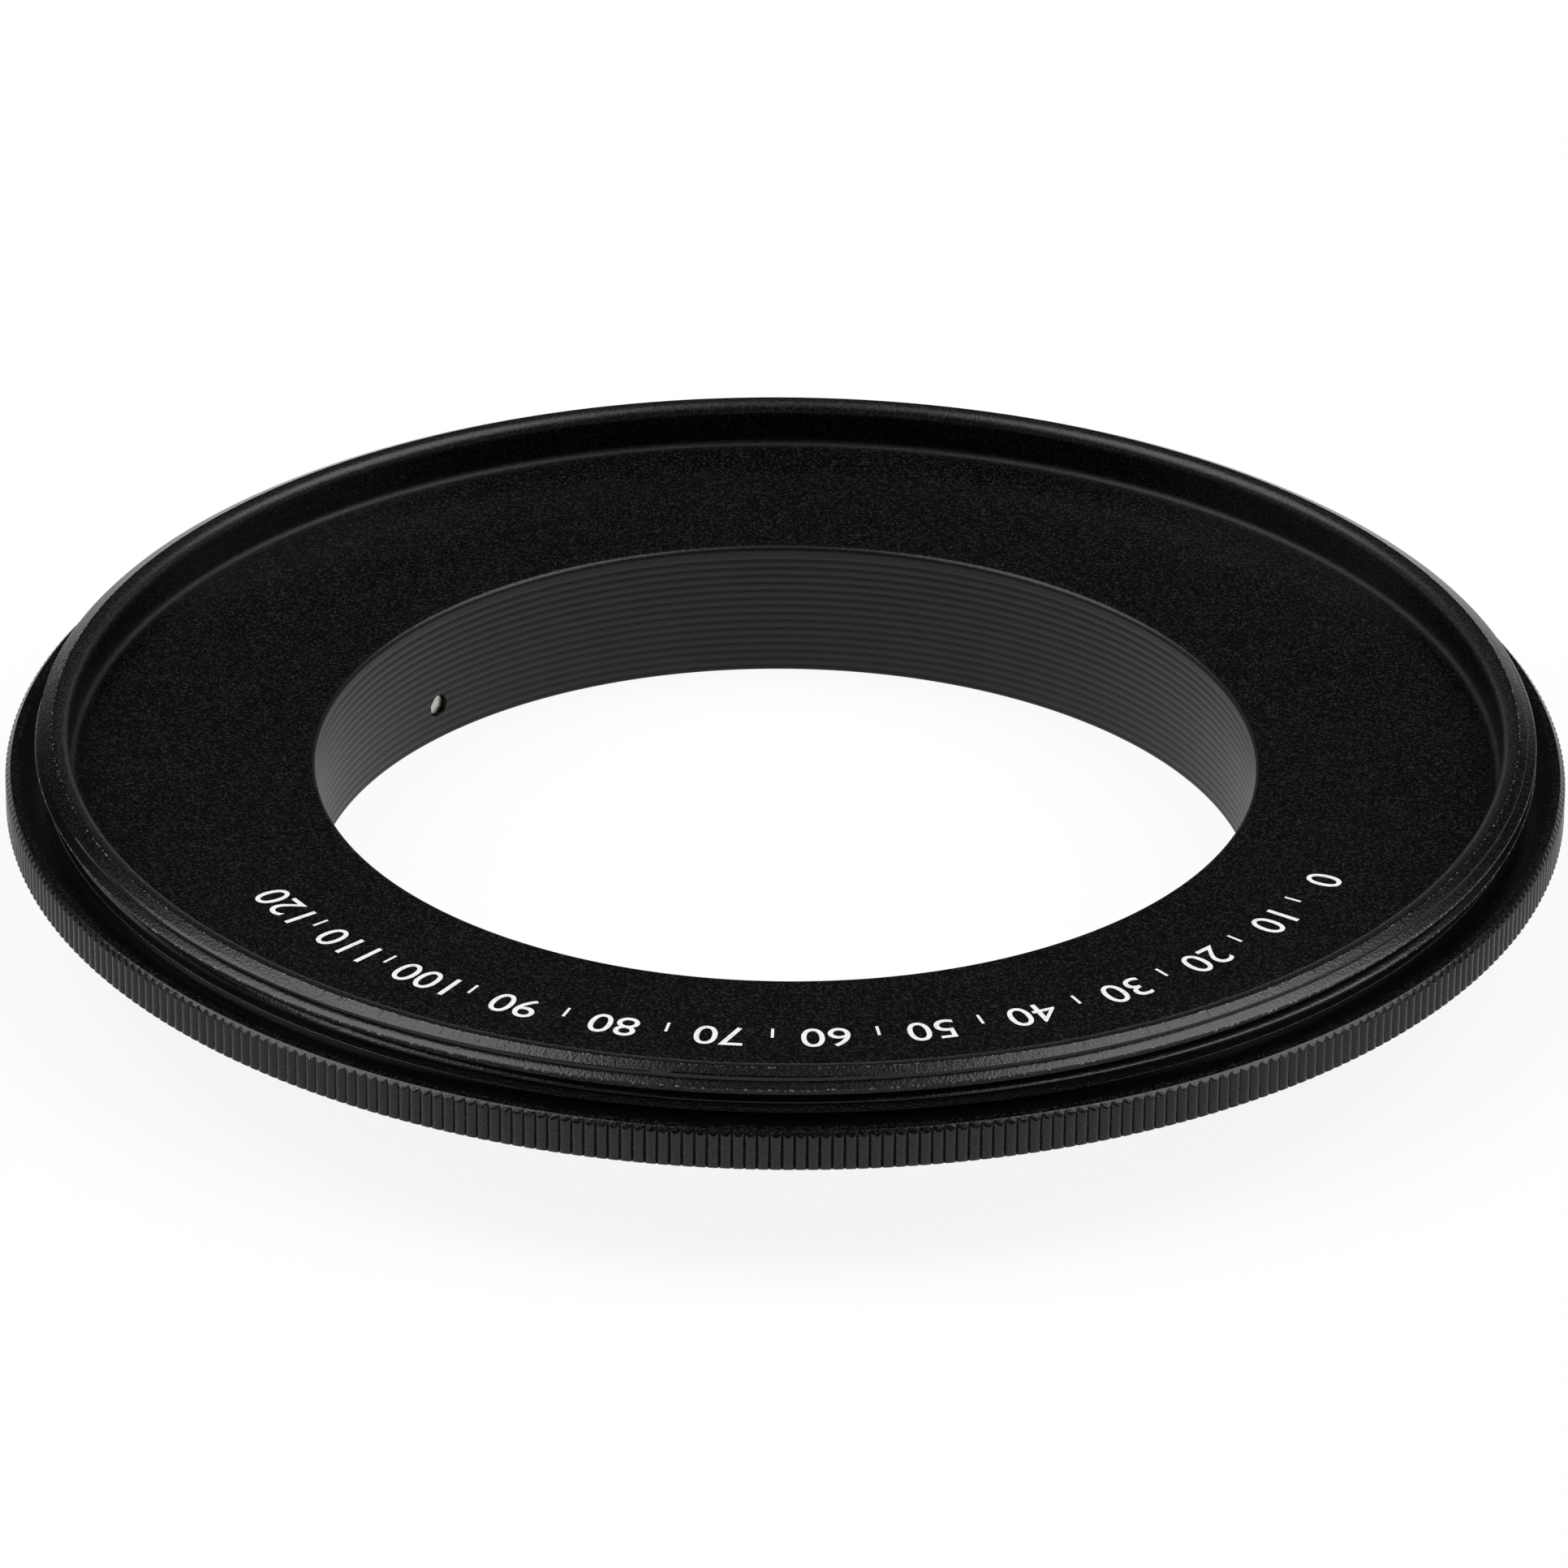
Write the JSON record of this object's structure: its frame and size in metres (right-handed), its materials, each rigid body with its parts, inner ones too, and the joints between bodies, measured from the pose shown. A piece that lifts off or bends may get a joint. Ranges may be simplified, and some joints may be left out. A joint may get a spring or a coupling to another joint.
{
  "type": "macro reverse ring",
  "caption": "Flat black metal adapter ring that holds a camera lens back to front: male filter thread on one side, lens bayonet on the other, knurled edge, open centre.",
  "frame": {"origin": "on the optical axis, at the free end of the bayonet tube that the ring stands on", "axes": "+Z along the optical axis towards the filter thread; +X to the right in the picture"},
  "size_m": [0.08, 0.08, 0.0098],
  "materials": {
    "anodised_black": "bead-blasted satin black anodising",
    "pin_steel": "bright turned steel"
  },
  "bodies": {
    "root": {"ring_body": "anodised_black", "stop_pin": "pin_steel"}
  },
  "joints": []
}
